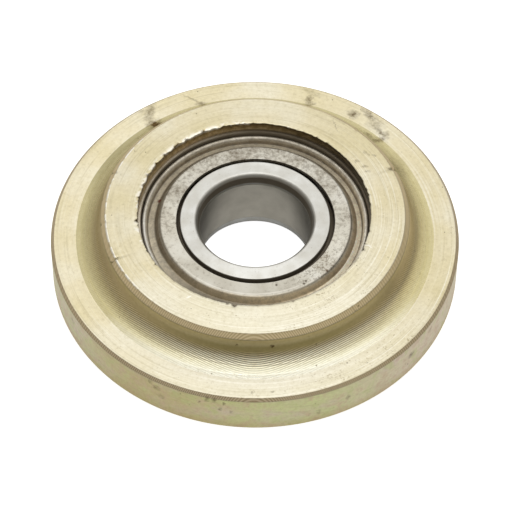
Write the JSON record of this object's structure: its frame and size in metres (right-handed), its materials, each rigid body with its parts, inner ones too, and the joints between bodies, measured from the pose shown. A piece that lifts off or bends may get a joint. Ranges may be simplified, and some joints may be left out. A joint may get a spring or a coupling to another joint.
{
  "type": "chain tensioner idler",
  "caption": "Disc idler for a roller chain: a turned, yellow zinc-plated steel disc with a stepped hub on each side spins on a pressed-in shielded ball bearing.",
  "frame": {"origin": "on the axle's axis, at the lower hub face", "axes": "+Z along the axle, towards the hub with the bearing lip"},
  "size_m": [0.074, 0.074, 0.0208],
  "materials": {
    "yellow_zinc_steel": "turned steel, yellow passivated zinc plating",
    "bearing_steel": "ground bearing steel",
    "ball_steel": "polished",
    "cage_steel": "pressed steel sheet",
    "rivet_steel": "headed wire",
    "shield_steel": "pressed steel sheet, dusty",
    "spring_steel": "phosphated spring steel"
  },
  "bodies": {
    "inner_race": {"inner_ring": "bearing_steel"},
    "roller": {"roller_body": "yellow_zinc_steel", "outer_ring": "bearing_steel", "shield_upper": "shield_steel", "shield_lower": "shield_steel", "retaining_ring": "spring_steel"},
    "cage": {"cage_upper": "cage_steel", "cage_lower": "cage_steel", "cage_rivets": "rivet_steel"},
    "rolling_ball_1": {"ball_1": "ball_steel"},
    "rolling_ball_2": {"ball_2": "ball_steel"},
    "rolling_ball_3": {"ball_3": "ball_steel"},
    "rolling_ball_4": {"ball_4": "ball_steel"},
    "rolling_ball_5": {"ball_5": "ball_steel"},
    "rolling_ball_6": {"ball_6": "ball_steel"},
    "rolling_ball_7": {"ball_7": "ball_steel"},
    "rolling_ball_8": {"ball_8": "ball_steel"}
  },
  "joints": [
    {"name": "roller_spin", "type": "hinge", "parent": "inner_race", "child": "roller", "pos_m": [0, 0, 0.0118], "axis": [0, 0, 1], "continuous": true},
    {"name": "cage_orbit", "type": "hinge", "parent": "inner_race", "child": "cage", "pos_m": [0, 0, 0.0118], "axis": [0, 0, 1], "continuous": true},
    {"name": "ball_1_roll", "type": "hinge", "parent": "cage", "child": "rolling_ball_1", "pos_m": [0.01675, 0, 0.0118], "axis": [0, 0, 1], "continuous": true},
    {"name": "ball_2_roll", "type": "hinge", "parent": "cage", "child": "rolling_ball_2", "pos_m": [0.01184, 0.01184, 0.0118], "axis": [0, 0, 1], "continuous": true},
    {"name": "ball_3_roll", "type": "hinge", "parent": "cage", "child": "rolling_ball_3", "pos_m": [0, 0.01675, 0.0118], "axis": [0, 0, 1], "continuous": true},
    {"name": "ball_4_roll", "type": "hinge", "parent": "cage", "child": "rolling_ball_4", "pos_m": [-0.01184, 0.01184, 0.0118], "axis": [0, 0, 1], "continuous": true},
    {"name": "ball_5_roll", "type": "hinge", "parent": "cage", "child": "rolling_ball_5", "pos_m": [-0.01675, 0, 0.0118], "axis": [0, 0, 1], "continuous": true},
    {"name": "ball_6_roll", "type": "hinge", "parent": "cage", "child": "rolling_ball_6", "pos_m": [-0.01184, -0.01184, 0.0118], "axis": [0, 0, 1], "continuous": true},
    {"name": "ball_7_roll", "type": "hinge", "parent": "cage", "child": "rolling_ball_7", "pos_m": [0, -0.01675, 0.0118], "axis": [0, 0, 1], "continuous": true},
    {"name": "ball_8_roll", "type": "hinge", "parent": "cage", "child": "rolling_ball_8", "pos_m": [0.01184, -0.01184, 0.0118], "axis": [0, 0, 1], "continuous": true}
  ],
  "couplings": [
    {"joint": "cage_orbit", "follows": "roller_spin", "ratio": 0.61848},
    {"joint": "ball_1_roll", "follows": "roller_spin", "ratio": 1.9916},
    {"joint": "ball_2_roll", "follows": "roller_spin", "ratio": 1.9916},
    {"joint": "ball_3_roll", "follows": "roller_spin", "ratio": 1.9916},
    {"joint": "ball_4_roll", "follows": "roller_spin", "ratio": 1.9916},
    {"joint": "ball_5_roll", "follows": "roller_spin", "ratio": 1.9916},
    {"joint": "ball_6_roll", "follows": "roller_spin", "ratio": 1.9916},
    {"joint": "ball_7_roll", "follows": "roller_spin", "ratio": 1.9916},
    {"joint": "ball_8_roll", "follows": "roller_spin", "ratio": 1.9916}
  ]
}
